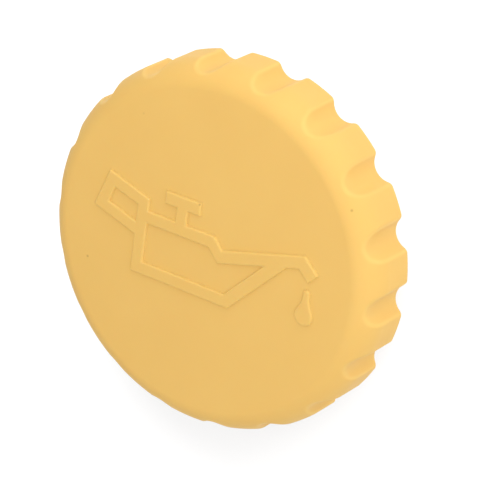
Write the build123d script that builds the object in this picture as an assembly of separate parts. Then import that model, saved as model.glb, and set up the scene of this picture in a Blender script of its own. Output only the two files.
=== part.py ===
from build123d import *
import os
from math import cos, radians, sin, sqrt, tan

# Oil filler cap for an engine: a scalloped grip with a raised oil can sign on its face, moulded in one piece
# with a hollow bayonet plug, and a flat rubber seal stretched into a groove at the root of the plug.
# Millimetres and degrees. The origin is on the cap's axis, in the plane where the seal meets the filler neck.
# +Z points out of the face, and +X runs through the middle of a finger groove, to the right of the sign.

# Grip
grip_diameter = 64.0
grip_height = 11.3
skirt_draft = 1.0
skirt_wall = 2.0
shoulder_width = 4.2
shoulder_drop = 5.5
face_thickness = 2.6
inside_corner_radius = 1.0

# Finger grooves
groove_count = 18
groove_radius = 3.0
groove_depth = 1.7
groove_edge_radius = 0.8

# Stiffening ribs between the face plate and the skirt
rib_count = 6
rib_thickness = 1.4
rib_foot = 2.0
rib_rim_setback = 3.0

# Plug
plug_diameter = 33.0
plug_length = 18.0
plug_wall = 2.4
plug_bore_draft = 0.75
plug_lead_in_length = 2.0
plug_lead_in_depth = 0.9
plug_bore_corner_radius = 1.0

# Seal and the groove that holds it
seal_thickness = 3.0
seal_width = 6.7
seal_edge_radius = 0.8
seal_groove_depth = 0.7
seal_bore_clearance = 0.05
seal_rib_clearance = 0.8

# Bayonet lugs
lug_count = 2
lug_angle = 55.0
lug_reach = 2.8
lug_thickness = 3.5
lug_ramp_rise = 1.2
lug_ramp_angle = 30.0
lug_stop_angle = 8.0
lug_stop_rise = 2.0
lug_edge_radius = 0.6
neck_flange_thickness = 8.0

# Raised oil can sign: heights and places are those of the stroke's centre line, from the cap's axis
sign_turn = 1.1
sign_relief = 0.45
sign_edge_radius = 0.2
sign_stroke = 2.15
can_left = -12.5
can_floor_height = -6.5
can_floor_length = 17.75
can_roof_height = 2.7
can_roof_length = 13.75
can_shoulder_drop = 2.15
can_shoulder_angle = 48.0
spout_angle = 15.25
spout_under_angle = 46.5
spout_reach = 18.4
tip_length = 3.3
tip_angle = 43.0
handle_angle = 18.0
handle_low_height = 0.14
handle_low_length = 8.45
handle_high_height = 5.2
handle_high_length = 6.6
knob_centre = -4.8
knob_bar_length = 6.9
knob_bar_height = 7.55
drop_centre = 20.0
drop_top = 0.4
drop_low = -5.75
drop_radius = 1.68
drop_neck_radius = 0.6
drop_flank_radius = 5.0

# Radii and levels that follow from the sizes above
grip_radius = grip_diameter / 2
skirt_inner_radius = grip_radius - groove_depth - skirt_wall
plug_radius = plug_diameter / 2
plug_root_radius = plug_radius - seal_groove_depth
seal_inner_radius = plug_root_radius + seal_bore_clearance
seal_outer_radius = seal_inner_radius + seal_width
seat_z = seal_thickness
face_z = seat_z + face_thickness
rim_z = face_z - grip_height
plug_end_z = -plug_length
bore_mouth_radius = plug_radius - plug_wall
bore_floor_radius = bore_mouth_radius - (seat_z - plug_end_z) * tan(radians(plug_bore_draft))
ellipse_share = 0.5523
touch = 0.001


def rounded(section, x, y, radius):
    """The section with its corner at a point rounded."""
    corner = section.vertices().sort_by_distance((x, y, 0))[0]
    return fillet(corner, radius)


def turned(section):
    """The solid of a section with the radius along x and the height along y."""
    return revolve(Plane.XZ * section, Axis.Z)


def draw_shoulder():
    """The line from the face to the skirt: close to a quarter ellipse, which touches both."""
    lean = tan(radians(skirt_draft))
    low_z = face_z - shoulder_drop
    low_radius = grip_radius - (low_z - rim_z) * lean
    high_radius = low_radius - shoulder_width
    pull_out = ellipse_share * shoulder_width
    pull_up = ellipse_share * shoulder_drop
    return Bezier(
        (high_radius, face_z),
        (high_radius + pull_out, face_z),
        (low_radius - pull_up * lean, low_z + pull_up),
        (low_radius, low_z),
    )


def make_shell():
    """Face, shoulder, skirt and plug, turned from one section."""
    shoulder = draw_shoulder()
    inside = Polyline(
        shoulder @ 1,
        (grip_radius, rim_z),
        (skirt_inner_radius, rim_z),
        (skirt_inner_radius, seat_z),
        (plug_root_radius, seat_z),
        (plug_root_radius, 0),
        (plug_radius, 0),
        (plug_radius, plug_end_z + plug_lead_in_length),
        (plug_radius - plug_lead_in_depth, plug_end_z),
        (bore_mouth_radius, plug_end_z),
        (bore_floor_radius, seat_z),
        (0, seat_z),
        (0, face_z),
        shoulder @ 0,
    )
    section = make_face(shoulder + inside)
    section = rounded(section, skirt_inner_radius, seat_z, inside_corner_radius)
    section = rounded(section, bore_floor_radius, seat_z, plug_bore_corner_radius)
    return turned(section)


def cut_grooves(shell):
    """Round finger grooves along the skirt that run out on the shoulder, with softened edges."""
    groove = Cylinder(groove_radius, grip_height, align=(Align.CENTER, Align.CENTER, Align.MIN))
    ring = PolarLocations(grip_radius - groove_depth + groove_radius, groove_count)
    grooved = shell - ring * (Pos(0, 0, rim_z) * groove)
    walls = grooved.faces().filter_by(GeomType.CYLINDER)
    walls = walls.filter_by(lambda face: abs(face.radius - groove_radius) < touch)
    edges = walls.edges().filter_by(lambda edge: edge.center().Z > rim_z + touch)
    return fillet(edges, groove_edge_radius)


def make_ribs():
    """Thin ribs in the corner between the face plate and the skirt, clear of the seal."""
    inner = seal_outer_radius + seal_rib_clearance
    outer = skirt_inner_radius + skirt_wall / 2
    root_z = seat_z + face_thickness / 2
    outline = make_face(
        Polyline(
            (inner, root_z),
            (inner, seat_z - rib_foot),
            (outer, rim_z + rib_rim_setback),
            (outer, root_z),
            close=True,
        )
    )
    rib = extrude(Plane.XZ * outline, rib_thickness / 2, both=True)
    half_pitch = 180 / rib_count
    return PolarLocations(0, rib_count, start_angle=half_pitch) * rib


def make_lugs():
    """Bayonet lugs: the upper face climbs from the leading end to a level land that ends at a stop."""
    top = -neck_flange_thickness
    low = top - lug_thickness
    inner = plug_radius - plug_wall / 2
    outer = plug_radius + lug_reach

    def band(low, high, start, sweep):
        """A block of the ring round the plug, between two heights and over a sweep."""
        block = make_face(Polyline((inner, low), (outer, low), (outer, high), (inner, high), close=True))
        return Rot(0, 0, start) * revolve(Plane.XZ * block, Axis.Z, sweep)

    stop = band(low, top + lug_stop_rise, lug_angle - lug_stop_angle, lug_stop_angle)
    lug = band(low, top, 0, lug_angle) + stop
    run = outer * tan(radians(lug_ramp_angle))
    above = top + lug_stop_rise
    ramp = make_face(Polyline((0, top), (0, above), (-run, above), (-run, top - lug_ramp_rise), close=True))
    lug = lug - Rot(0, 0, lug_ramp_angle) * extrude(Plane.YZ * ramp, 2 * outer)
    ends = lug.edges().filter_by(Axis.Z).filter_by(
        lambda edge: abs(sqrt(edge.center().X ** 2 + edge.center().Y ** 2) - outer) < touch
    )
    lug = fillet(ends, lug_edge_radius)
    return PolarLocations(0, lug_count, start_angle=-lug_angle / 2) * lug


def stroke_ring(*corners):
    """A closed stroke of the sign with mitred corners."""
    face = make_face(Polyline(*corners, close=True))
    outer = offset(face, sign_stroke / 2, kind=Kind.INTERSECTION)
    return outer - offset(face, -sign_stroke / 2, kind=Kind.INTERSECTION)


def stroke_run(*corners):
    """An open stroke of the sign with mitred corners and square ends."""
    line = Wire(Polyline(*corners))
    sides = [
        make_face(line.offset_2d(sign_stroke / 2, Kind.INTERSECTION, side, closed=True))
        for side in (Side.LEFT, Side.RIGHT)
    ]
    return sides[0] + sides[1]


def draw_can():
    """The can's body with its roof, shoulder, tapering spout and bent tip."""
    floor_right = can_left + can_floor_length
    roof_right = can_left + can_roof_length
    spout_slope = tan(radians(spout_angle))
    under_slope = tan(radians(spout_under_angle))
    dip_x = roof_right + can_shoulder_drop / tan(radians(can_shoulder_angle))
    dip_y = can_roof_height - can_shoulder_drop
    join_rise = dip_y - can_floor_height + spout_slope * (floor_right - dip_x)
    join_run = join_rise / (under_slope - spout_slope)
    join = (floor_right + join_run, can_floor_height + under_slope * join_run)
    bend = (spout_reach, dip_y + spout_slope * (spout_reach - dip_x))
    tip_x = bend[0] + tip_length * cos(radians(tip_angle))
    tip_y = bend[1] - tip_length * sin(radians(tip_angle))
    body = stroke_ring(
        (can_left, can_floor_height),
        (floor_right, can_floor_height),
        join,
        (dip_x, dip_y),
        (roof_right, can_roof_height),
        (can_left, can_roof_height),
    )
    return body + stroke_run(join, bend, (tip_x, tip_y))


def draw_handle():
    """The slanted loop behind the can, whose right side is in line with the can's left wall."""
    back, rise = -cos(radians(handle_angle)), sin(radians(handle_angle))
    return stroke_ring(
        (can_left, handle_low_height),
        (can_left, handle_high_height),
        (can_left + handle_high_length * back, handle_high_height + handle_high_length * rise),
        (can_left + handle_low_length * back, handle_low_height + handle_low_length * rise),
    )


def draw_knob():
    """The filler knob on the roof: a post with a bar across it."""
    post_height = knob_bar_height - can_roof_height
    post = Pos(knob_centre, can_roof_height + post_height / 2) * Rectangle(sign_stroke, post_height)
    return post + Pos(knob_centre, knob_bar_height) * Rectangle(knob_bar_length, sign_stroke)


def draw_drop():
    """The drop under the tip: a round bulb and a small round top, joined by hollow flanks."""
    bulb_y = drop_low + drop_radius
    neck_y = drop_top - drop_neck_radius
    to_bulb = drop_flank_radius + drop_radius
    to_neck = drop_flank_radius + drop_neck_radius
    span = neck_y - bulb_y
    flank_up = (span**2 + to_bulb**2 - to_neck**2) / (2 * span)
    flank_out = sqrt(to_bulb**2 - flank_up**2)
    bulb_x = flank_out * drop_radius / to_bulb
    bulb_touch_y = bulb_y + flank_up * drop_radius / to_bulb
    neck_x = flank_out * drop_neck_radius / to_neck
    neck_touch_y = neck_y + (flank_up - span) * drop_neck_radius / to_neck
    outline = [
        ThreePointArc((bulb_x, bulb_touch_y), (0, drop_low), (-bulb_x, bulb_touch_y)),
        RadiusArc((-bulb_x, bulb_touch_y), (-neck_x, neck_touch_y), -drop_flank_radius),
        ThreePointArc((-neck_x, neck_touch_y), (0, drop_top), (neck_x, neck_touch_y)),
        RadiusArc((neck_x, neck_touch_y), (bulb_x, bulb_touch_y), -drop_flank_radius),
    ]
    return Pos(drop_centre, 0) * make_face(outline)


def make_sign():
    """The oil can sign, raised on the face with softened edges."""
    drawing = draw_can() + draw_handle() + draw_knob() + draw_drop()
    raised = extrude(drawing, sign_relief)
    tops = raised.faces().filter_by(lambda face: face.center().Z > sign_relief - touch)
    raised = fillet(tops.edges(), sign_edge_radius)
    return Pos(0, 0, face_z) * Rot(0, 0, sign_turn) * raised


def make_cap_body():
    """The yellow moulding."""
    return cut_grooves(make_shell()) + make_ribs() + make_lugs() + make_sign()


def make_seal_ring():
    """The flat rubber ring with rounded edges, against its seat under the face plate."""
    middle = (seal_inner_radius + seal_outer_radius) / 2
    section = Pos(middle, seal_thickness / 2) * RectangleRounded(seal_width, seal_thickness, seal_edge_radius)
    return turned(section)


os.makedirs("parts", exist_ok=True)
export_step(make_cap_body(), "parts/cap_body.step")
export_step(make_seal_ring(), "parts/seal_ring.step")
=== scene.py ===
"""Looks of a scalloped oil filler cap: the yellow moulding, its raised sign and the rubber seal."""

from math import acos, cos, pi, radians, sin, tan
from typing import NamedTuple

import bpy
import numpy as np
from bpy.props import FloatProperty, FloatVectorProperty, IntProperty, PointerProperty
from bpy.types import Operator, Panel, PropertyGroup
from mathutils import Matrix, Vector
from mathutils.geometry import tessellate_polygon


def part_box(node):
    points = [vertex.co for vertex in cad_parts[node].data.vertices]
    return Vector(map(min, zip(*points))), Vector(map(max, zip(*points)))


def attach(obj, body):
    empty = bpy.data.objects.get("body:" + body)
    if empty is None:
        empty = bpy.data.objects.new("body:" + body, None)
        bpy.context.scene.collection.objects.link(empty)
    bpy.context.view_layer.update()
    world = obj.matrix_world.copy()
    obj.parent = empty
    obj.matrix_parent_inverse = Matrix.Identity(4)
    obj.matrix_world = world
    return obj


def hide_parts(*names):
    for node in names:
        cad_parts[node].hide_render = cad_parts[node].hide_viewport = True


bl_info = {
    "name": "Oil Filler Cap",
    "version": (1, 0, 0),
    "blender": (4, 5, 0),
    "location": "3D View > Sidebar > Oil Cap",
    "description": "Builds a scalloped oil filler cap with a raised sign, a bayonet plug and a seal",
    "category": "Add Mesh",
}

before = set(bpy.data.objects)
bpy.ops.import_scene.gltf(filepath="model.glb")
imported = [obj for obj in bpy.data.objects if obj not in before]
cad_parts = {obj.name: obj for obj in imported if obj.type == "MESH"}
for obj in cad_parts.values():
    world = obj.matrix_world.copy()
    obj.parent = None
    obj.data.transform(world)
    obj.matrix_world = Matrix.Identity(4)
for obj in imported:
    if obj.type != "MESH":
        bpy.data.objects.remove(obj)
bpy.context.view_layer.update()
cap_low, cap_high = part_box("cap_body")
seal_low, seal_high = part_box("seal_ring")

MM = 0.001
SIGN_RELIEF = 0.45 * MM
BODY = "root"

# How finely the surfaces are divided
GROOVE_STEPS = 20
LAND_STEPS = 3
SHOULDER_POINTS = 45
FINE_ARC = 3
RIM_ARC = 4
WIDE_ARC = 5
SEAL_ARC = 8
SEAL_COLUMNS = 240
LUG_END_POINTS = 6
LUG_LAND_POINTS = 24
LUG_STOP_POINTS = 7
SIGN_EDGE_POINTS = 6
SIGN_CORNER_ARC = 5
BULB_STEPS = 36
FLANK_STEPS = 12
NECK_STEPS = 14
FLOOR_CELLS = 12


# Sizes and colours that a user would change

def length(name, description, default):
    """A length in metres, shown in the scene's units."""
    return FloatProperty(
        name=name, description=description, default=default, precision=5, subtype="DISTANCE", unit="LENGTH"
    )


def angle(name, description, degrees):
    """An angle in radians, shown in degrees."""
    return FloatProperty(
        name=name, description=description, default=radians(degrees), subtype="ANGLE", unit="ROTATION"
    )


def number(name, description, default):
    """A plain number."""
    return FloatProperty(name=name, description=description, default=default, precision=4)


def colour(name, description, default):
    """A linear colour."""
    return FloatVectorProperty(
        name=name, description=description, default=default, min=0.0, max=1.0, subtype="COLOR", size=3
    )


class GripSizes(PropertyGroup):
    """The face, the shoulder and the grooved skirt."""

    radius: length("Radius", "Radius over the lands at the rim", cap_high.y)
    face_level: length("Face level", "Height of the face over the origin", cap_high.z - SIGN_RELIEF)
    height: length("Height", "Height of the grip from the rim to the face", 11.3 * MM)
    draft: angle("Draft", "Lean of the skirt's outside", 1)
    wall: length("Wall", "Skirt's wall behind the grooves", 2 * MM)
    shoulder_width: length("Shoulder width", "Width of the rounding between the face and the skirt", 4.2 * MM)
    shoulder_drop: length("Shoulder drop", "Depth of the rounding between the face and the skirt", 5.5 * MM)
    inside_corner: length("Inside corner", "Radius between the face plate and the skirt inside", 1 * MM)
    rim_edge: length("Rim edge", "Radius of the rim's edges", 0.3 * MM)
    groove_count: IntProperty(name="Grooves", description="Finger grooves round the skirt", default=18, min=3)
    groove_radius: length("Groove radius", "Radius of a finger groove", 3 * MM)
    groove_depth: length("Groove depth", "Depth of a finger groove at the rim", 1.7 * MM)
    groove_edge: length("Groove edge", "Depth of the rounding where a groove meets the skirt", 0.5 * MM)


class PlugSizes(PropertyGroup):
    """The hollow plug with its seat for the seal, its lugs and the ribs beside it."""

    radius: length("Radius", "Radius of the plug", 16.5 * MM)
    end_level: length("End level", "Height of the plug's end", cap_low.z)
    wall: length("Wall", "Plug's wall at its mouth", 2.4 * MM)
    bore_draft: angle("Bore draft", "Lean of the bore", 0.75)
    bore_corner: length("Bore corner", "Radius at the floor of the bore", 1 * MM)
    lead_in_length: length("Lead-in length", "Length of the taper at the plug's end", 2 * MM)
    lead_in_depth: length("Lead-in depth", "Depth of the taper at the plug's end", 0.9 * MM)
    lead_in_edge: length("Lead-in edge", "Radius where the taper starts", 0.75 * MM)
    seal_groove: length("Seal groove", "Depth of the groove that holds the seal", 0.7 * MM)
    edge: length("Edge", "Radius of the small edges", 0.25 * MM)
    lug_count: IntProperty(name="Lugs", description="Bayonet lugs round the plug", default=2, min=1)
    lug_angle: angle("Lug angle", "Sweep of a lug", 55)
    lug_reach: length("Lug reach", "How far a lug stands out of the plug", 2.8 * MM)
    lug_level: length("Lug level", "Height of a lug's level land", -8 * MM)
    lug_thickness: length("Lug thickness", "Height of a lug under its land", 3.5 * MM)
    ramp_angle: angle("Ramp angle", "Sweep of the ramp at a lug's leading end", 30)
    ramp_rise: length("Ramp rise", "Climb of the ramp's plane over its run", 1.2 * MM)
    stop_angle: angle("Stop angle", "Sweep of the stop at a lug's far end", 8)
    stop_rise: length("Stop rise", "Height of the stop over the land", 2 * MM)
    lug_edge: length("Lug edge", "Radius of a lug's edges", 0.5 * MM)
    rib_count: IntProperty(name="Ribs", description="Ribs behind the skirt", default=6, min=1)
    rib_thickness: length("Rib thickness", "Thickness of a rib", 1.4 * MM)
    rib_foot: length("Rib foot", "Height of a rib's inner end under the face plate", 2 * MM)
    rib_setback: length("Rib setback", "Height of a rib's outer end over the rim", 3 * MM)
    rib_clearance: length("Rib clearance", "Gap between a rib and the seal", 0.8 * MM)
    rib_edge: length("Rib edge", "Width of the bevel on a rib's edges", 0.2 * MM)


class SealSizes(PropertyGroup):
    """The flat rubber ring."""

    outer_radius: length("Outer radius", "Radius of the ring outside", seal_high.x)
    width: length("Width", "Width of the ring's section", 6.7 * MM)
    low_level: length("Lower side", "Height of the ring's lower side", seal_low.z)
    high_level: length("Upper side", "Height of the ring's upper side", seal_high.z)
    edge: length("Edge", "Radius of the ring's edges", 0.8 * MM)


class SignSizes(PropertyGroup):
    """The raised oil can. Places are those of the strokes' centre lines, from the cap's axis."""

    relief: length("Relief", "Height of the sign over the face", SIGN_RELIEF)
    stroke: length("Stroke", "Width of the strokes", 2.3 * MM)
    edge: length("Edge", "Radius of the upper edges", 0.36 * MM)
    foot: length("Foot", "Radius of the hollow where a stroke meets the face", 0.1 * MM)
    corner: length("Corner", "Radius of the corners in the drawing", 0.1 * MM)
    can_left: length("Can left", "Left wall of the can", -12.53 * MM)
    floor_height: length("Floor height", "Floor of the can", -6.55 * MM)
    floor_length: length("Floor length", "Length of the floor", 17.95 * MM)
    roof_height: length("Roof height", "Roof of the can", 2.74 * MM)
    roof_length: length("Roof length", "Length of the roof", 13.87 * MM)
    shoulder_drop: length("Shoulder drop", "Drop from the roof to the spout's root", 2.03 * MM)
    shoulder_angle: angle("Shoulder angle", "Slope of that drop", 46.9)
    spout_angle: angle("Spout angle", "Slope of the spout's upper stroke", 16.35)
    under_angle: angle("Under angle", "Slope of the stroke under the spout", 48)
    spout_reach: length("Spout reach", "Bend at the spout's end", 18.45 * MM)
    tip_length: length("Tip length", "Length of the bent tip", 3.27 * MM)
    tip_stroke: length("Tip stroke", "Width of the bent tip", 2.52 * MM)
    tip_angle: angle("Tip angle", "Slope of the bent tip", 42.5)
    handle_angle: angle("Handle angle", "Slope of the handle's strokes", 16.9)
    handle_low: length("Handle low", "Lower stroke of the handle at the can", -0.22 * MM)
    handle_low_length: length("Handle low length", "Length of the lower stroke", 8.66 * MM)
    handle_high: length("Handle high", "Upper stroke of the handle at the can", 5.17 * MM)
    handle_high_length: length("Handle high length", "Length of the upper stroke", 6.9 * MM)
    knob_centre: length("Knob centre", "Middle of the filler knob", -4.93 * MM)
    knob_height: length("Knob height", "Bar of the filler knob", 7.47 * MM)
    knob_length: length("Knob length", "Length of that bar", 7.05 * MM)
    drop_centre: length("Drop centre", "Middle of the drop", 20.1 * MM)
    drop_top: length("Drop top", "Top of the drop", 0.88 * MM)
    drop_low: length("Drop low", "Bottom of the drop", -5.43 * MM)
    drop_radius: length("Drop radius", "Radius of the drop's bulb", 1.72 * MM)
    drop_neck: length("Drop neck", "Radius of the drop's top", 0.68 * MM)
    drop_flank: length("Drop flank", "Radius of the drop's hollow flanks", 5 * MM)


class FinishColours(PropertyGroup):
    """Colours of the moulding and the seal."""

    plastic: colour("Plastic", "Waxy yellow of the moulding", (0.857, 0.538, 0.152))
    plastic_deep: colour("Plastic, deep", "Slightly deeper yellow of its flow marks", (0.837, 0.516, 0.142))
    # Painted highlight: a paler yellow laid on the rounded edges of the grooves and the sign, in place of the
    # light they catch
    plastic_edge_highlight: colour("Plastic, crest", "Paler yellow of its handled edges", (0.93, 0.65, 0.205))
    speck: colour("Speck", "Brown of the specks in the plastic", (0.2, 0.1, 0.03))
    rubber: colour("Rubber", "Black of the seal", (0.02, 0.02, 0.021))
    rubber_dust: colour("Rubber, dust", "Grey of the powder on the seal", (0.05, 0.05, 0.052))


class StageSettings(PropertyGroup):
    """The camera, the light and the floor."""

    azimuth: angle("Azimuth", "Camera's direction round the cap", 131.654)
    elevation: angle("Elevation", "Camera's direction over the floor", 52.486)
    roll: angle("Roll", "Camera's turn about its line of sight", -117.126)
    distance: length("Distance", "Camera's distance from its aim", 399.66 * MM)
    lens: number("Lens", "Focal length in millimetres on a sensor 36 mm wide", 179.03)
    aim: FloatVectorProperty(
        name="Aim",
        description="Point that the camera looks at",
        default=(0.142 * MM, -0.776 * MM, -5.386 * MM),
        size=3,
        precision=5,
        subtype="TRANSLATION",
        unit="LENGTH",
    )
    ambient: number("Ambient", "Strength of the even light from all round", 0.55)
    floor_size: length("Floor size", "Side of the floor", 6.0)
    floor: colour("Floor", "Colour of the floor", (0.4, 0.4, 0.4))
    floor_lift: number("Floor lift", "Brightness that the floor gains in the camera's eye", 0.59)


class Lamp(NamedTuple):
    """A square soft lamp that faces the cap, with its angles in degrees and its lengths in metres.

    Strength 1 lights a facing surface so that its colour renders as written. A lamp that is floor_only lights
    nothing but the floor.
    """

    name: str
    azimuth: float
    elevation: float
    distance: float
    size: float
    strength: float
    floor_only: bool = False


LAMPS = (
    Lamp("key_lamp", azimuth=139.8, elevation=-11.1, distance=0.7, size=0.55, strength=0.295),
    Lamp("front_lamp", azimuth=91.6, elevation=70, distance=0.42, size=0.47, strength=0.44),
    Lamp("top_lamp", azimuth=178, elevation=26, distance=0.2, size=0.14, strength=0.29),
    Lamp("side_lamp", azimuth=88, elevation=20, distance=0.16, size=0.11, strength=0.125),
    Lamp("floor_lamp", azimuth=160, elevation=30, distance=1.5, size=1.2, strength=2, floor_only=True),
)

# Specks in the moulding: place, radius and strength
SPECKS = (
    ((-22.58 * MM, -8.45 * MM, 5.6 * MM), 0.2 * MM, 0.35),
    ((25.18 * MM, 16.3 * MM, 4.74 * MM), 0.22 * MM, 0.35),
    ((-14.82 * MM, 20.1 * MM, 5.6 * MM), 0.2 * MM, 0.1),
    ((-1.7 * MM, 8.4 * MM, 6.05 * MM), 0.2 * MM, 0.35),
)


# Lines and grids

class Patch(NamedTuple):
    """Part of a mesh: its points, arrays of faces, and how far each point is on a rounded edge, which the
    finish lightens as a painted highlight.
    """

    points: np.ndarray
    faces: list
    crest: np.ndarray


def soft_line(corners, closed=False, guard=0.0):
    """A line through corners (x, y, radius, steps), where each corner is an arc that touches both its sides.

    The arc starts radius times the tangent of half the turn before the corner, and its points are spread
    evenly over the turn. The guard adds a point that far before and after each arc, which keeps the shading
    of the flats flat.
    """
    places = np.array([corner[:2] for corner in corners])
    pieces = [] if closed else [places[:1]]
    for i in range(len(corners)) if closed else range(1, len(corners) - 1):
        radius, steps = corners[i][2:]
        before = places[i] - places[i - 1]
        after = places[(i + 1) % len(corners)] - places[i]
        before = before / np.hypot(*before)
        after = after / np.hypot(*after)
        turn = np.arctan2(before[0] * after[1] - before[1] * after[0], before @ after)
        back = radius * np.tan(abs(turn) / 2)
        side = np.sign(turn) * np.array((-before[1], before[0]))
        start = places[i] - before * back
        swing = turn * np.linspace(0, 1, steps + 1)[:, None]
        arc = start + radius * (side - side * np.cos(swing) + before * np.sin(np.abs(swing)))
        ends = [start - before * guard, places[i] + after * (back + guard)]
        pieces.append(np.vstack((ends[0], arc, ends[1])) if guard else arc)
    if not closed:
        pieces.append(places[-1:])
    return np.concatenate(pieces)


def wrapped_quads(rows, columns, first=0, ring=False):
    """Quads of a grid of points that is closed round its columns, and round its rows too in a ring."""
    index = first + np.arange(rows * columns).reshape(rows, columns)
    below = np.roll(index, -1, axis=0) if ring else index[1:]
    above = index if ring else index[:-1]
    corners = (above, below, np.roll(below, -1, axis=1), np.roll(above, -1, axis=1))
    return np.stack(corners, axis=-1).reshape(-1, 4)


def on_circle(radius, level, angles):
    """Points at a radius and a level, for each angle about the axis."""
    radius, level, angles = np.broadcast_arrays(radius, level, angles)
    return np.stack((radius * np.cos(angles), radius * np.sin(angles), level), axis=-1)


def new_piece(name, patches, node, material):
    """Joins closed patches into one smooth object that stands for a CAD node and rides on the cap."""
    firsts = np.cumsum([0] + [len(patch.points) for patch in patches])
    faces = [
        face
        for patch, first in zip(patches, firsts)
        for group in patch.faces
        for face in (group + first).tolist()
    ]
    mesh = bpy.data.meshes.new(name)
    mesh.from_pydata(np.concatenate([patch.points for patch in patches]), [], faces)
    crest = mesh.attributes.new("crest", "FLOAT", "POINT")
    crest.data.foreach_set("value", np.concatenate([patch.crest for patch in patches]).astype(np.float32))
    mesh.shade_smooth()
    mesh.materials.append(material)
    mesh.update()
    if mesh.validate(verbose=False):
        raise RuntimeError(f"{name} has faulty faces")
    piece = bpy.data.objects.new(name, mesh)
    bpy.context.scene.collection.objects.link(piece)
    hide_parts(node)
    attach(piece, BODY)
    return piece


# Shapes

def groove_angles(grip, groove_centre):
    """Angles about the axis, close together in the grooves and at their edges, and wide apart on the lands.

    A groove's edge is where its circle crosses the skirt's, which the law of cosines gives.
    """
    half_pitch = pi / grip.groove_count
    crossing = groove_centre**2 + grip.radius**2 - grip.groove_radius**2
    overrun = 1.32
    past_edge = overrun * acos(crossing / (2 * groove_centre * grip.radius))
    stretches = ((0, past_edge, GROOVE_STEPS), (past_edge, half_pitch, LAND_STEPS))
    half = np.concatenate([np.linspace(start, end, steps, endpoint=False) for start, end, steps in stretches])
    pitch = np.concatenate((half, 2 * half_pitch - np.append(half, half_pitch)[:0:-1]))
    return (2 * half_pitch * np.arange(grip.groove_count)[:, None] + pitch).ravel()


def shoulder_line(grip):
    """The section from the face to the skirt: a cubic curve close to a quarter ellipse, which touches both.

    Its two inner handles lie on the lines of the face and the skirt, at the share of the width and the drop
    that makes a quarter ellipse, and each point is the handles' mean weighted by the four cubic terms.
    """
    share_out = 0.5523
    low = grip.face_level - grip.shoulder_drop
    low_radius = grip.radius - (low - grip.face_level + grip.height) * tan(grip.draft)
    high_radius = low_radius - grip.shoulder_width
    pull = share_out * grip.shoulder_drop
    handles = np.array(
        (
            (high_radius, grip.face_level),
            (high_radius + share_out * grip.shoulder_width, grip.face_level),
            (low_radius - pull * tan(grip.draft), low + pull),
            (low_radius, low),
        )
    )
    run = np.linspace(0, 1, SHOULDER_POINTS)[:, None]
    weights = np.hstack(((1 - run) ** 3, 3 * run * (1 - run) ** 2, 3 * run**2 * (1 - run), run**3))
    return weights @ handles


def rounded_grooves(radius, upright, groove_radius, groove_centre, from_groove, edge):
    """Radii of a turned surface with grooves whose edges are rounded, and how far each point is such an edge.

    A point's depth is its distance inside the turned surface times the cosine of that surface's slope, and
    its clearance is its distance from the groove's axis less the groove's radius. Where both are less than
    the edge, their shortfalls make a circle: their squares add up to the edge's square. The radius that does
    so is found by halving its range.
    """
    halvings = 40
    deep, shallow = np.broadcast_arrays(radius - 2 * (groove_radius - edge), radius + 0 * from_groove)
    for _ in range(halvings):
        middle = (deep + shallow) / 2
        away = np.sqrt(middle**2 + groove_centre**2 - 2 * middle * groove_centre * np.cos(from_groove))
        depth_short = np.clip(edge - (radius - middle) * upright, 0, None)
        groove_short = np.clip(edge - away + groove_radius, 0, None)
        outside = depth_short**2 + groove_short**2 > edge**2
        deep = np.where(outside, deep, middle)
        shallow = np.where(outside, middle, shallow)
    return deep, 2 * depth_short * groove_short / edge**2


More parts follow.
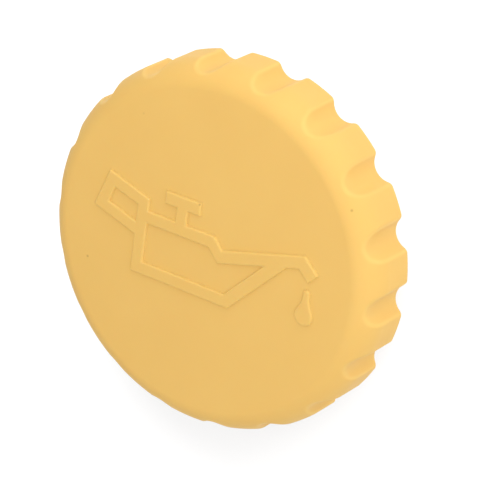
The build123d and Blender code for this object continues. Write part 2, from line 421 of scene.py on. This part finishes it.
def grooved_shell(grip, plug):
    """The moulding's turned form with its grooves, as a function of the way along its section and the angle.

    Inside, the radius is the section's. Outside, the grooves are cut into it. Under the rim's edge both the
    section and the grooves draw in along a quarter circle.
    """
    rim = grip.face_level - grip.height
    skirt_inside = grip.radius - grip.groove_depth - grip.wall
    rim_middle = skirt_inside + grip.wall / 2
    seat = seal_high.z
    root = plug.radius - plug.seal_groove
    mouth = plug.radius - plug.wall
    bore_floor = mouth - (seat - plug.end_level) * tan(plug.bore_draft)
    guard = 0.2 * MM
    # Least cosine of the slope, so that a depth is still felt near the level face
    least_upright = 0.05
    shoulder = shoulder_line(grip)
    rim_corner = (grip.radius, rim, grip.rim_edge, WIDE_ARC)
    skirt = soft_line([shoulder[-1], rim_corner, (rim_middle, rim)], guard=guard)
    outside = np.vstack(((0, grip.face_level), shoulder[0] - (guard, 0), shoulder, skirt[1:]))
    inside = soft_line(
        [
            (rim_middle, rim),
            (skirt_inside, rim, grip.rim_edge, RIM_ARC),
            (skirt_inside, seat, grip.inside_corner, WIDE_ARC),
            (root, seat, plug.edge, FINE_ARC),
            (root, seal_low.z, plug.edge, FINE_ARC),
            (plug.radius, seal_low.z, plug.edge, FINE_ARC),
            (plug.radius, plug.end_level + plug.lead_in_length, plug.lead_in_edge, FINE_ARC),
            (plug.radius - plug.lead_in_depth, plug.end_level, plug.edge, FINE_ARC),
            (mouth, plug.end_level, plug.edge, FINE_ARC),
            (bore_floor, seat, plug.bore_corner, WIDE_ARC),
            (0, seat),
        ],
        guard=guard,
    )
    groove_centre = grip.radius - grip.groove_depth + grip.groove_radius
    angles = groove_angles(grip, groove_centre)
    pitch = 2 * pi / grip.groove_count
    from_groove = (angles + pitch / 2) % pitch - pitch / 2
    radius, level = outside[1:, :1], outside[1:, 1:]
    fall = np.gradient(shoulder, axis=0)
    upright = np.ones_like(radius)
    upright[1 : len(shoulder) + 1, 0] = -fall[:, 1] / np.hypot(fall[:, 0], fall[:, 1])
    upright[0] = upright[1]
    under_edge = np.clip(rim + grip.rim_edge - level, 0, grip.rim_edge)
    draw_in = grip.rim_edge - np.sqrt(grip.rim_edge**2 - under_edge**2)
    grooved, crest = rounded_grooves(
        radius,
        np.maximum(upright, least_upright),
        grip.groove_radius + draw_in,
        groove_centre,
        from_groove[None],
        grip.groove_edge,
    )
    outer = on_circle(grooved, level, angles[None])
    inner = on_circle(inside[1:-1, :1], inside[1:-1, 1:], angles[None])
    rings = np.concatenate((outer, inner))
    rows, columns = rings.shape[:2]
    top = (0, 0, grip.face_level)
    bottom = (0, 0, seat)
    points = np.concatenate((rings.reshape(-1, 3), (top, bottom)))
    first = np.arange(columns)
    last = first + (rows - 1) * columns
    top_index = np.full(columns, rows * columns)
    fans = [
        np.stack((top_index, first, np.roll(first, -1)), axis=1),
        np.stack((last, top_index + 1, np.roll(last, -1)), axis=1),
    ]
    # How far each point is on a groove's rounded edge, where the finish paints a highlight and is smoother
    edge_highlight_weight = np.zeros(len(points))
    edge_highlight_weight[: crest.size] = crest.ravel() ** 2
    return Patch(points, [wrapped_quads(rows, columns), *fans], edge_highlight_weight)


def lofted(sections):
    """A body through sections with as many points each, closed by a flat face at both ends.

    The points run round each section anticlockwise, seen from the body's start.
    """
    rows, columns = sections.shape[:2]
    loop = np.arange(columns)
    sides = wrapped_quads(rows, columns)[:, ::-1]
    ends = [loop[None, ::-1], loop[None] + (rows - 1) * columns]
    return Patch(sections.reshape(-1, 3), [sides, *ends], np.zeros(rows * columns))


def bayonet_lug(plug, start):
    """A lug as a section carried round the plug.

    The section's upper side follows the land. Before the end of the ramp it lies lower by the ramp's slope
    times the distance from the ramp's end, square to the radius there, and at the stop it rises in a smooth
    step. At both ends the outside draws in along a quarter circle.
    """
    inner = plug.radius - plug.wall / 2
    outer = plug.radius + plug.lug_reach
    low = plug.lug_level - plug.lug_thickness
    section = soft_line(
        [
            (inner, plug.lug_level, plug.edge, FINE_ARC),
            (outer, plug.lug_level, plug.edge, FINE_ARC),
            (outer, low, plug.edge, FINE_ARC),
            (inner, low, plug.edge, FINE_ARC),
        ],
        closed=True,
    )
    rounding = plug.lug_edge / outer
    stop_start = plug.lug_angle - plug.stop_angle
    step = plug.edge / outer
    quarter = np.linspace(0, pi / 2, LUG_END_POINTS)
    sweep = np.concatenate(
        (
            rounding * (1 - np.cos(quarter)),
            np.linspace(rounding, stop_start - step, LUG_LAND_POINTS)[1:],
            np.linspace(stop_start - step, stop_start + step, LUG_STOP_POINTS)[1:],
            np.linspace(stop_start + step, plug.lug_angle - rounding, LUG_END_POINTS)[1:],
            plug.lug_angle - rounding + rounding * np.sin(quarter)[1:],
        )
    )[:, None]
    radius, level = section[None, :, 0], section[None, :, 1]
    upper = level > plug.lug_level - plug.lug_thickness / 2
    outward = radius > plug.radius
    slope = plug.ramp_rise / (outer * tan(plug.ramp_angle))
    ramp = slope * radius * np.sin(np.clip(plug.ramp_angle - sweep, 0, None))
    rise = np.clip((sweep - stop_start + step) / (2 * step), 0, 1)
    stop = plug.stop_rise * rise**2 * (3 - 2 * rise)
    from_end = np.minimum(sweep, plug.lug_angle - sweep) * outer
    short = np.clip(plug.lug_edge - from_end, 0, plug.lug_edge)
    draw_in = plug.lug_edge - np.sqrt(plug.lug_edge**2 - short**2)
    sections = on_circle(radius - outward * draw_in, level + upper * (stop - ramp), start + sweep)
    return lofted(sections)


def skirt_rib(plug, grip, place):
    """A thin web between the face plate and the skirt: its outline carried across its thickness."""
    seat = seal_high.z
    inner = seal_high.x + plug.rib_clearance
    outer = grip.radius - grip.groove_depth - grip.wall / 2
    rim = grip.face_level - grip.height
    root = (seat + grip.face_level) / 2
    outline = np.array(
        ((inner, root), (inner, seat - plug.rib_foot), (outer, rim + plug.rib_setback), (outer, root))
    )
    across = np.array((plug.rib_thickness / 2, -plug.rib_thickness / 2))[:, None]
    along = np.broadcast_to(outline[:, 0], (2, len(outline)))
    level = np.broadcast_to(outline[:, 1], (2, len(outline)))
    x = along * cos(place) - across * sin(place)
    y = along * sin(place) + across * cos(place)
    return lofted(np.stack((x, y, level), axis=-1))


def flat_ring(seal):
    """The ring as its rounded section carried round the axis."""
    inner = seal.outer_radius - seal.width
    section = soft_line(
        [
            (seal.outer_radius, seal.high_level, seal.edge, SEAL_ARC),
            (seal.outer_radius, seal.low_level, seal.edge, SEAL_ARC),
            (inner, seal.low_level, seal.edge, SEAL_ARC),
            (inner, seal.high_level, seal.edge, SEAL_ARC),
        ],
        closed=True,
        guard=0.15 * MM,
    )
    angles = np.linspace(0, 2 * pi, SEAL_COLUMNS, endpoint=False)
    rings = on_circle(section[:, :1], section[:, 1:], angles[None])
    rows, columns = rings.shape[:2]
    return Patch(rings.reshape(-1, 3), [wrapped_quads(rows, columns, ring=True)], np.zeros(rows * columns))


def meet(first, second):
    """The point where two lines, each a point and a direction, cross."""
    (start, way), (other, other_way) = first, second
    gap = other - start
    run = (gap[0] * other_way[1] - gap[1] * other_way[0]) / (way[0] * other_way[1] - way[1] * other_way[0])
    return start + run * way


def sign_outlines(sign, step):
    """The can's outline and windows, moved into the material by a step, with the material on their left.

    Each stroke's edges are lines half a stroke less the step to the left and right of its centre line, and
    the corners are where the edges of neighbouring strokes cross.
    """

    def edges(x, y, slope, half=sign.stroke / 2 - step):
        """The left and the right edge of the stroke through a point at a slope."""
        way = np.array((cos(slope), sin(slope)))
        left = half * np.array((-way[1], way[0]))
        return (np.array((x, y)) + left, way), (np.array((x, y)) - left, way)

    floor_right = sign.can_left + sign.floor_length
    roof_right = sign.can_left + sign.roof_length
    dip_x = roof_right + sign.shoulder_drop / tan(sign.shoulder_angle)
    dip_y = sign.roof_height - sign.shoulder_drop
    bend_y = dip_y + tan(sign.spout_angle) * (sign.spout_reach - dip_x)
    tip_x = sign.spout_reach + (sign.tip_length - step) * cos(sign.tip_angle)
    tip_y = bend_y - (sign.tip_length - step) * sin(sign.tip_angle)
    back = pi - sign.handle_angle
    low_end = (
        sign.can_left + sign.handle_low_length * cos(back),
        sign.handle_low + sign.handle_low_length * sin(back),
    )
    high_end = (
        sign.can_left + sign.handle_high_length * cos(back),
        sign.handle_high + sign.handle_high_length * sin(back),
    )
    wall_out, wall_in = edges(sign.can_left, 0, pi / 2)
    floor_in, floor_out = edges(0, sign.floor_height, 0)
    roof_out, roof_in = edges(0, sign.roof_height, 0)
    fall_out, fall_in = edges(roof_right, sign.roof_height, -sign.shoulder_angle)
    spout_out, spout_in = edges(dip_x, dip_y, sign.spout_angle)
    under_in, under_out = edges(floor_right, sign.floor_height, sign.under_angle)
    tip_out, tip_in = edges(sign.spout_reach, bend_y, -sign.tip_angle, sign.tip_stroke / 2 - step)
    tip_end = (np.array((tip_x, tip_y)), np.array((sin(sign.tip_angle), cos(sign.tip_angle))))
    low_out, low_in = edges(*low_end, back)
    high_in, high_out = edges(*high_end, back)
    rear_slope = float(np.arctan2(high_end[1] - low_end[1], high_end[0] - low_end[0]))
    rear_out, rear_in = edges(*low_end, rear_slope)
    post_left, post_right = edges(sign.knob_centre, 0, pi / 2)
    bar_top, bar_low = edges(0, sign.knob_height, 0)
    bar_half = sign.knob_length / 2 - step
    bar_left = (np.array((sign.knob_centre - bar_half, 0)), np.array((0, 1)))
    bar_right = (np.array((sign.knob_centre + bar_half, 0)), np.array((0, 1)))

    front = (tip_out, spout_out, fall_out, roof_out)
    knob = (post_right, bar_low, bar_right, bar_top, bar_left, bar_low, post_left)
    handle = (high_out, rear_out, low_out)
    under = (floor_out, under_out, spout_in, tip_in, tip_end)
    around = (*front, *knob, roof_out, wall_in, *handle, wall_out, *under)
    can_window = (floor_in, wall_in, roof_in, fall_in, spout_in, under_in)
    handle_window = (wall_out, low_in, rear_in, high_in)
    outlines = []
    for lines in (around, can_window, handle_window):
        corners = [meet(line, following) for line, following in zip(lines, (*lines[1:], lines[0]))]
        rounded = [(*corner, sign.corner, SIGN_CORNER_ARC) for corner in corners]
        outlines.append(soft_line(rounded, closed=True))
    return outlines


def drop_outlines(sign, step):
    """The drop's outline, moved into the material by a step: a bulb and a small round top with hollow flanks.

    A flank's centre lies its radius and the bulb's away from the bulb's centre, and likewise from the top's.
    """
    bulb = sign.drop_low + sign.drop_radius
    neck = sign.drop_top - sign.drop_neck
    to_bulb = sign.drop_flank + sign.drop_radius
    to_neck = sign.drop_flank + sign.drop_neck
    span = neck - bulb
    up = (span**2 + to_bulb**2 - to_neck**2) / (2 * span)
    out = np.sqrt(to_bulb**2 - up**2)
    bulb_end = np.arctan2(up, out)
    neck_end = np.arctan2(up - span, out)

    def arc(x, y, radius, start, end, steps):
        """Points on a circle from one angle up to another."""
        turn = np.linspace(start, end, steps, endpoint=False)
        return np.stack((x + radius * np.cos(turn), y + radius * np.sin(turn)), axis=1)

    outline = np.concatenate(
        (
            arc(0, bulb, sign.drop_radius - step, -pi - bulb_end, bulb_end, BULB_STEPS),
            arc(out, bulb + up, sign.drop_flank + step, pi + bulb_end, pi + neck_end, FLANK_STEPS),
            arc(0, neck, sign.drop_neck - step, neck_end, pi - neck_end, NECK_STEPS),
            arc(-out, bulb + up, sign.drop_flank + step, -neck_end, -bulb_end, FLANK_STEPS),
        )
    )
    return [outline + (sign.drop_centre, 0)]


def raised_sign(outlines_at, sign, face_level):
    """A raised figure: a wall carried round its outlines and a flat top.

    From the top the wall follows a quarter circle over the edge, falls straight, and runs out in a quarter
    circle at its foot. It ends a little way inside the face. The outlines are drawn anew at each of its steps
    into the material.
    """
    top_margin = 0.05 * MM
    root_depth = 0.1 * MM
    turn = np.linspace(0, pi / 2, SIGN_EDGE_POINTS)
    over = np.stack((sign.edge * (1 - np.sin(turn)), sign.relief - sign.edge * (1 - np.cos(turn))), axis=1)
    out = np.stack((-sign.foot * (1 - np.cos(turn)), sign.foot * (1 - np.sin(turn))), axis=1)
    flat = (sign.edge + top_margin, sign.relief)
    buried = (-sign.foot, -root_depth)
    wall = np.vstack((flat, over, out, buried))
    # How far each wall point is over the rounded upper edge, where the finish paints a highlight
    edge_highlight_weight = np.zeros(len(wall))
    edge_highlight_weight[1:SIGN_EDGE_POINTS] = np.sin(2 * turn[:-1])
    points, faces, tops, crest = [], [], [], []
    first = 0
    for steps in zip(*(outlines_at(sign, step) for step in wall[:, 0])):
        rings = np.stack([np.insert(line, 2, height, axis=1) for line, height in zip(steps, wall[:, 1])])
        rows, columns = rings.shape[:2]
        points.append(rings.reshape(-1, 3))
        faces.append(wrapped_quads(rows, columns, first=first))
        tops.append(first + np.arange(columns))
        crest.append(np.repeat(edge_highlight_weight, columns))
        first += rows * columns
    points = np.concatenate(points)
    top = np.concatenate(tops)
    fill = np.array(tessellate_polygon([points[loop].tolist() for loop in tops]))
    corner = points[top[fill]]
    sides = np.cross(corner[:, 1] - corner[:, 0], corner[:, 2] - corner[:, 0])[:, 2]
    fill[sides < 0] = fill[sides < 0][:, ::-1]
    bottom = np.concatenate([loop + (len(wall) - 1) * len(loop) for loop in tops])
    faces += [top[fill], bottom[fill][:, ::-1]]
    return Patch(points + (0, 0, face_level), faces, np.concatenate(crest))


# Materials

# Marks in the finishes: sizes, and how strongly they show
FLOW_SIZE = 9 * MM
FLOW_CONTRAST = 1.6
FLOW_START = 0.3
GRAIN_SIZE = 0.18 * MM
GRAIN_DEPTH = 0.012 * MM
# How far the painted highlight on rounded edges goes towards its paler yellow
EDGE_HIGHLIGHT_SHARE = 0.25
SPECK_RIM = 1.5
BLOOM_SIZE = 4 * MM
BLOOM_CONTRAST = 2
BLOOM_START = 0.6
RUBBER_GRAIN_SIZE = 0.15 * MM
RUBBER_GRAIN_DEPTH = 0.02 * MM


class Shade:
    """An output of a shader node. Arithmetic on it adds Math nodes, and node() adds any other node."""

    def __init__(self, tree, socket=None):
        self.tree = tree
        self.socket = socket

    def node(self, kind, settings=None, inputs=None, output=0):
        """Adds a node, makes its settings, then fills or links its sockets, and gives one of its outputs."""
        made = self.tree.nodes.new(kind)
        for name, value in (settings or {}).items():
            setattr(made, name, value)
        for key, value in (inputs or {}).items():
            if isinstance(value, Shade):
                self.tree.links.new(value.socket, made.inputs[key])
            else:
                made.inputs[key].default_value = value
        return Shade(self.tree, made.outputs[output] if made.outputs else None)

    def math(self, operation, first, second):
        """Adds a Math node."""
        return self.node("ShaderNodeMath", {"operation": operation}, {0: first, 1: second})

    def __add__(self, other):
        return self.math("ADD", self, other)

    def __radd__(self, other):
        return self.math("ADD", other, self)

    def __sub__(self, other):
        return self.math("SUBTRACT", self, other)

    def __rsub__(self, other):
        return self.math("SUBTRACT", other, self)

    def __mul__(self, other):
        return self.math("MULTIPLY", self, other)

    def __rmul__(self, other):
        return self.math("MULTIPLY", other, self)

    def clamped(self):
        """The value held between 0 and 1."""
        return self.node("ShaderNodeClamp", inputs={"Value": self})

    def blend(self, first, second):
        """Goes from one colour to another as this value goes from 0 to 1."""
        return self.node("ShaderNodeMix", {"data_type": "RGBA"}, {0: self, 6: first, 7: second}, output=2)


def new_material(name):
    """A material with an empty tree."""
    material = bpy.data.materials.new(name)
    material.use_nodes = True
    material.node_tree.nodes.clear()
    return material, Shade(material.node_tree)


def noise(shade, coordinates, feature, detail):
    """Smooth noise from 0 to 1 whose features measure about so much."""
    sockets = {"Vector": coordinates, "Scale": 1 / feature, "Detail": detail, "Roughness": 0.5}
    return shade.node("ShaderNodeTexNoise", {"noise_dimensions": "3D"}, sockets)


def yellow_plastic(colours):
    """Satin, slightly waxy plastic with faint flow marks, a painted highlight of paler yellow on its rounded
    edges, a fine grain and a few specks.

    It is rougher in its flow marks and its grain, and smoother on its rounded edges.
    """
    material = bpy.data.materials.get("yellow_plastic_finish")
    if material:
        return material
    material, shade = new_material("yellow_plastic_finish")
    place = shade.node("ShaderNodeTexCoord", output="Object")
    crest = shade.node("ShaderNodeAttribute", {"attribute_name": "crest"}, output="Fac")
    flow = noise(shade, place, FLOW_SIZE, detail=3)
    grain = noise(shade, place, GRAIN_SIZE, detail=2)
    specks = []
    for centre, radius, strength in SPECKS:
        ends = {0: place, 1: centre}
        away = shade.node("ShaderNodeVectorMath", {"operation": "DISTANCE"}, ends, output="Value")
        specks.append((SPECK_RIM - away * (1 / radius)).clamped() * strength)
    speck = sum(specks[1:], specks[0])
    marks = (flow * FLOW_CONTRAST - FLOW_START).clamped()
    body = marks.blend((*colours.plastic_deep, 1), (*colours.plastic, 1))
    # Painted highlight: the rounded edges are lightened towards a paler yellow
    highlighted = (crest * EDGE_HIGHLIGHT_SHARE).blend(body, (*colours.plastic_edge_highlight, 1))
    spotted = speck.clamped().blend(highlighted, (*colours.speck, 1))
    relief = {"Strength": 0.25, "Distance": GRAIN_DEPTH, "Height": grain}
    bump = shade.node("ShaderNodeBump", inputs=relief)
    surface = shade.node(
        "ShaderNodeBsdfPrincipled",
        inputs={
            "Base Color": spotted,
            "Roughness": 0.5 + 0.06 * flow + 0.04 * (grain - crest),
            "IOR": 1.49,
            "Specular IOR Level": 0.2,
            "Subsurface Weight": 0.15,
            "Subsurface Radius": (1.0, 0.55, 0.2),
            "Subsurface Scale": 0.8 * MM,
            "Normal": bump,
        },
    )
    shade.node("ShaderNodeOutputMaterial", inputs={"Surface": surface})
    return material


def black_rubber(colours):
    """Matt moulded rubber with a dry powdery bloom and a fine grain."""
    material, shade = new_material("black_rubber_finish")
    place = shade.node("ShaderNodeTexCoord", output="Object")
    bloom = noise(shade, place, BLOOM_SIZE, detail=4)
    grain = noise(shade, place, RUBBER_GRAIN_SIZE, detail=3)
    dust = (bloom * BLOOM_CONTRAST - BLOOM_START).clamped()
    dusty = dust.blend((*colours.rubber, 1), (*colours.rubber_dust, 1))
    relief = {"Strength": 0.4, "Distance": RUBBER_GRAIN_DEPTH, "Height": grain}
    bump = shade.node("ShaderNodeBump", inputs=relief)
    surface = shade.node(
        "ShaderNodeBsdfPrincipled",
        inputs={"Base Color": dusty, "Roughness": 0.5 + 0.25 * bloom, "IOR": 1.52, "Normal": bump},
    )
    shade.node("ShaderNodeOutputMaterial", inputs={"Surface": surface})
    return material


def seen(shade):
    """1 for what the camera sees, in reflections and through glass too, and 0 for light on the cap."""
    kinds = ("Is Camera Ray", "Is Glossy Ray", "Is Transmission Ray")
    camera, glossy, through = (shade.node("ShaderNodeLightPath", output=kind) for kind in kinds)
    return (camera + glossy + through).clamped()


def white_floor(stage):
    """A plain matt floor that looks white, and throws less light on the cap than a white one."""
    material, shade = new_material("stage_floor")
    lift = seen(shade) * stage.floor_lift
    diffuse = shade.node("ShaderNodeBsdfDiffuse", inputs={"Color": (*stage.floor, 1)})
    glow = shade.node("ShaderNodeEmission", inputs={"Color": (1, 1, 1, 1), "Strength": lift})
    surface = shade.node("ShaderNodeAddShader", inputs={0: diffuse, 1: glow})
    shade.node("ShaderNodeOutputMaterial", inputs={"Surface": surface})
    return material


# Operators

class CapOperator:
    """What the cap's operators share."""

    bl_options = {"REGISTER", "UNDO"}


class OILCAP_OT_shell(CapOperator, Operator):
    """Make the moulding's shell: face, shoulder, grooved skirt and hollow plug"""

    bl_idname = "oilcap.shell"
    bl_label = "Shell"

    def execute(self, context):
        scene = context.scene
        patch = grooved_shell(scene.oilcap_grip, scene.oilcap_plug)
        new_piece("cap_shell", [patch], "cap_body", yellow_plastic(scene.oilcap_colours))
        return {"FINISHED"}


class OILCAP_OT_ribs(CapOperator, Operator):
    """Make the ribs between the face plate and the skirt"""

    bl_idname = "oilcap.ribs"
    bl_label = "Ribs"

    def execute(self, context):
        scene = context.scene
        plug = scene.oilcap_plug
        pitch = 2 * pi / plug.rib_count
        ribs = [skirt_rib(plug, scene.oilcap_grip, (i + 0.5) * pitch) for i in range(plug.rib_count)]
        finish = yellow_plastic(scene.oilcap_colours)
        piece = new_piece("skirt_ribs", ribs, "cap_body", finish)
        bevel = piece.modifiers.new("soft edges", "BEVEL")
        bevel.width = plug.rib_edge
        bevel.segments = 3
        return {"FINISHED"}


class OILCAP_OT_lugs(CapOperator, Operator):
    """Make the bayonet lugs on the plug"""

    bl_idname = "oilcap.lugs"
    bl_label = "Lugs"

    def execute(self, context):
        scene = context.scene
        plug = scene.oilcap_plug
        pitch = 2 * pi / plug.lug_count
        lugs = [bayonet_lug(plug, i * pitch - plug.lug_angle / 2) for i in range(plug.lug_count)]
        new_piece("bayonet_lugs", lugs, "cap_body", yellow_plastic(scene.oilcap_colours))
        return {"FINISHED"}


class OILCAP_OT_sign(CapOperator, Operator):
    """Make the raised oil can and its drop on the face"""

    bl_idname = "oilcap.sign"
    bl_label = "Sign"

    def execute(self, context):
        scene = context.scene
        sign = scene.oilcap_sign
        level = scene.oilcap_grip.face_level
        figures = [
            raised_sign(sign_outlines, sign, level),
            raised_sign(drop_outlines, sign, level),
        ]
        new_piece("oil_can_sign", figures, "cap_body", yellow_plastic(scene.oilcap_colours))
        return {"FINISHED"}


class OILCAP_OT_seal(CapOperator, Operator):
    """Make the rubber ring at the root of the plug"""

    bl_idname = "oilcap.seal"
    bl_label = "Seal"

    def execute(self, context):
        scene = context.scene
        patch = flat_ring(scene.oilcap_seal)
        new_piece("rubber_seal", [patch], "seal_ring", black_rubber(scene.oilcap_colours))
        return {"FINISHED"}


class OILCAP_OT_stage(CapOperator, Operator):
    """Make the floor, the light and the camera"""

    bl_idname = "oilcap.stage"
    bl_label = "Stage"

    def execute(self, context):
        scene = context.scene
        stage = scene.oilcap_stage
        floor = self.make_floor(scene, stage)
        self.make_light(scene, stage, floor)
        self.make_camera(scene, stage)
        scene.view_settings.view_transform = "Standard"
        return {"FINISHED"}

    def make_floor(self, scene, stage):
        """A level square under the plug's end."""
        half = stage.floor_size / 2
        sides = np.linspace(-half, half, FLOOR_CELLS + 1)
        x, y = np.meshgrid(sides, sides)
        points = np.stack((x, y, np.full_like(x, cap_low.z)), axis=-1)
        index = np.arange(x.size).reshape(x.shape)
        corners = (index[:-1, :-1], index[:-1, 1:], index[1:, 1:], index[1:, :-1])
        mesh = bpy.data.meshes.new("stage_floor")
        mesh.from_pydata(points.reshape(-1, 3), [], np.stack(corners, axis=-1).reshape(-1, 4).tolist())
        mesh.materials.append(white_floor(stage))
        floor = bpy.data.objects.new("stage_floor", mesh)
        scene.collection.objects.link(floor)
        return floor

    def make_light(self, scene, stage, floor):
        """Even light from all round, and soft lamps whose light the floor doesn't stop."""
        world = bpy.data.worlds.new("stage_world")
        world.use_nodes = True
        world.node_tree.nodes.clear()
        shade = Shade(world.node_tree)
        strength = stage.ambient + seen(shade) * (1 - stage.ambient)
        sky = shade.node("ShaderNodeBackground", inputs={"Color": (1, 1, 1, 1), "Strength": strength})
        shade.node("ShaderNodeOutputWorld", inputs={"Surface": sky})
        scene.world = world
        blockers = bpy.data.collections.new("lamp_blockers")
        blockers.objects.link(floor)
        blockers.collection_objects[0].light_linking.link_state = "EXCLUDE"
        floor_alone = bpy.data.collections.new("floor_alone")
        floor_alone.objects.link(floor)
        for lamp in LAMPS:
            light = bpy.data.lights.new(lamp.name, "AREA")
            light.shape = "SQUARE"
            light.size = lamp.size
            light.energy = lamp.strength * (pi * lamp.distance) ** 2
            back = direction(radians(lamp.azimuth), radians(lamp.elevation))
            source = bpy.data.objects.new(lamp.name, light)
            source.location = back * lamp.distance
            source.rotation_euler = back.to_track_quat("Z", "Y").to_euler()
            source.light_linking.blocker_collection = blockers
            if lamp.floor_only:
                source.light_linking.receiver_collection = floor_alone
            scene.collection.objects.link(source)

    def make_camera(self, scene, stage):
        """A long lens that looks at the cap from its direction, turned about its line of sight."""
        clip_ratio = 100
        camera = bpy.data.cameras.new("stage_camera")
        camera.lens = stage.lens
        camera.sensor_width = 36
        camera.clip_start = stage.distance / clip_ratio
        camera.clip_end = stage.distance * clip_ratio
        back = direction(stage.azimuth, stage.elevation)
        right = Vector((0, 0, 1)).cross(back).normalized()
        up = back.cross(right)
        level = Matrix((right, up, back)).transposed()
        viewer = bpy.data.objects.new("stage_camera", camera)
        viewer.matrix_world = Matrix.Translation(Vector(stage.aim) + back * stage.distance) @ (
            level @ Matrix.Rotation(stage.roll, 3, "Z")
        ).to_4x4()
        scene.collection.objects.link(viewer)
        scene.camera = viewer


def direction(azimuth, elevation):
    """The way from the cap towards a viewer. Azimuth 0 is towards -Y, and elevation is above the floor."""
    return Vector((sin(azimuth) * cos(elevation), -cos(azimuth) * cos(elevation), sin(elevation)))


class OILCAP_PT_sidebar(Panel):
    """Lists the cap's pieces and their sizes"""

    bl_idname = "OILCAP_PT_sidebar"
    bl_label = "Oil Filler Cap"
    bl_space_type = "VIEW_3D"
    bl_region_type = "UI"
    bl_category = "Oil Cap"

    def draw(self, context):
        for operator in OPERATORS:
            self.layout.operator(operator.bl_idname)
        for name in GROUPS:
            box = self.layout.box()
            group = getattr(context.scene, name)
            for field in group.__annotations__:
                box.prop(group, field)


GROUPS = {
    "oilcap_grip": GripSizes,
    "oilcap_plug": PlugSizes,
    "oilcap_seal": SealSizes,
    "oilcap_sign": SignSizes,
    "oilcap_colours": FinishColours,
    "oilcap_stage": StageSettings,
}
OPERATORS = (
    OILCAP_OT_shell,
    OILCAP_OT_ribs,
    OILCAP_OT_lugs,
    OILCAP_OT_sign,
    OILCAP_OT_seal,
    OILCAP_OT_stage,
)


def register():
    """Adds the classes and gives the scene its groups of sizes and colours."""
    for cls in (*GROUPS.values(), *OPERATORS, OILCAP_PT_sidebar):
        bpy.utils.register_class(cls)
    for name, group in GROUPS.items():
        setattr(bpy.types.Scene, name, PointerProperty(type=group))


def unregister():
    """Takes the groups and the classes away again."""
    for name in GROUPS:
        delattr(bpy.types.Scene, name)
    for cls in reversed((*GROUPS.values(), *OPERATORS, OILCAP_PT_sidebar)):
        bpy.utils.unregister_class(cls)


def main():
    """Builds the cap and its stage."""
    register()
    bpy.ops.oilcap.shell()
    bpy.ops.oilcap.ribs()
    bpy.ops.oilcap.lugs()
    bpy.ops.oilcap.sign()
    bpy.ops.oilcap.seal()
    bpy.ops.oilcap.stage()


if __name__ == "__main__":
    main()
